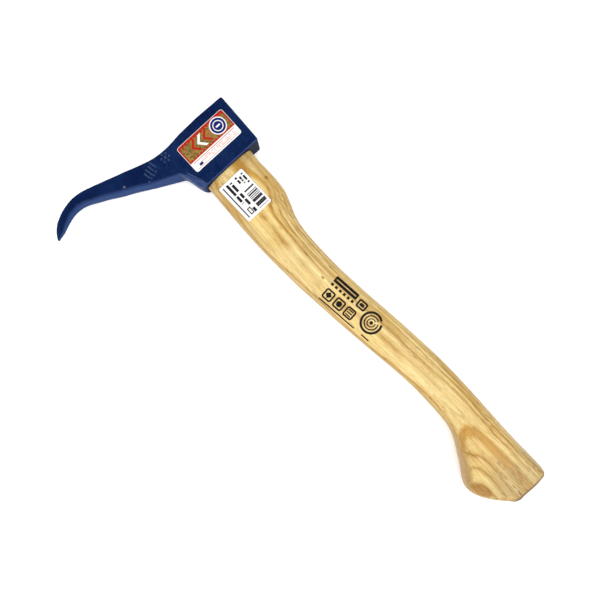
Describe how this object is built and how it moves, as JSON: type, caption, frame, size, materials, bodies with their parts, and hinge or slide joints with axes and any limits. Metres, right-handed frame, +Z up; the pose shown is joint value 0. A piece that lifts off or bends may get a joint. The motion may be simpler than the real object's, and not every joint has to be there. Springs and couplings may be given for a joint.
{
  "type": "pickaroon",
  "caption": "Short pickaroon: a forged steel head with one curved pointed spike, wedged on an oval ash handle with a fawn-foot butt, for hooking and moving logs.",
  "frame": {"origin": "on the axis of the head's eye, at the middle of the eye's height, in the plane of the lower cheek that the tool lies on", "axes": "+X along the handle from the grip towards the head's top, +Y the way the spike points, +Z up through the thickness and out of the labelled upper cheek"},
  "size_m": [0.4195, 0.178, 0.0322],
  "materials": {
    "head_paint": "dark blue paint on forged steel, satin, thin on the edges",
    "handle_ash": "pale ash, sanded and clear-lacquered",
    "wedge_wood": "bare hardwood end grain",
    "wedge_steel": "plain steel, dull",
    "label_print": "printed label, semi-gloss",
    "sticker_paper": "white paper sticker with plain dark bars, matte"
  },
  "bodies": {
    "root": {"head": "head_paint", "handle": "handle_ash", "eye_wedge": "wedge_wood", "cross_wedge": "wedge_steel", "head_label": "label_print", "handle_label": "sticker_paper"}
  },
  "joints": []
}
